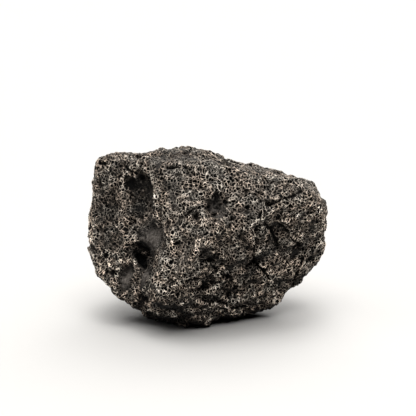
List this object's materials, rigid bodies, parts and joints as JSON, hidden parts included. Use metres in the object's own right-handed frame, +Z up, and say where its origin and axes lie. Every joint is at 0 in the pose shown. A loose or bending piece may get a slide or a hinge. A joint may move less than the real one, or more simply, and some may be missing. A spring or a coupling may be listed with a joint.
{
  "type": "iron meteorite",
  "caption": "Fist-sized iron meteorite: a blunt, broad-faced lump with thumbprint hollows, deep pits and a finely pitted dark brown-grey crust, standing on a small flat.",
  "frame": {"origin": "centre of the bounding box in plan, on the surface that the lump rests on", "axes": "+X to the right along the lump's longest side, seen from the front, +Y to the back, +Z up"},
  "size_m": [0.081, 0.0584, 0.0594],
  "materials": {
    "pitted_iron": "dark brown-grey weathered iron crust, matt, covered in small pits with lighter worn crests between them; smoother and slightly satin in the larger hollows"
  },
  "bodies": {
    "root": {"meteorite": "pitted_iron"}
  },
  "joints": []
}
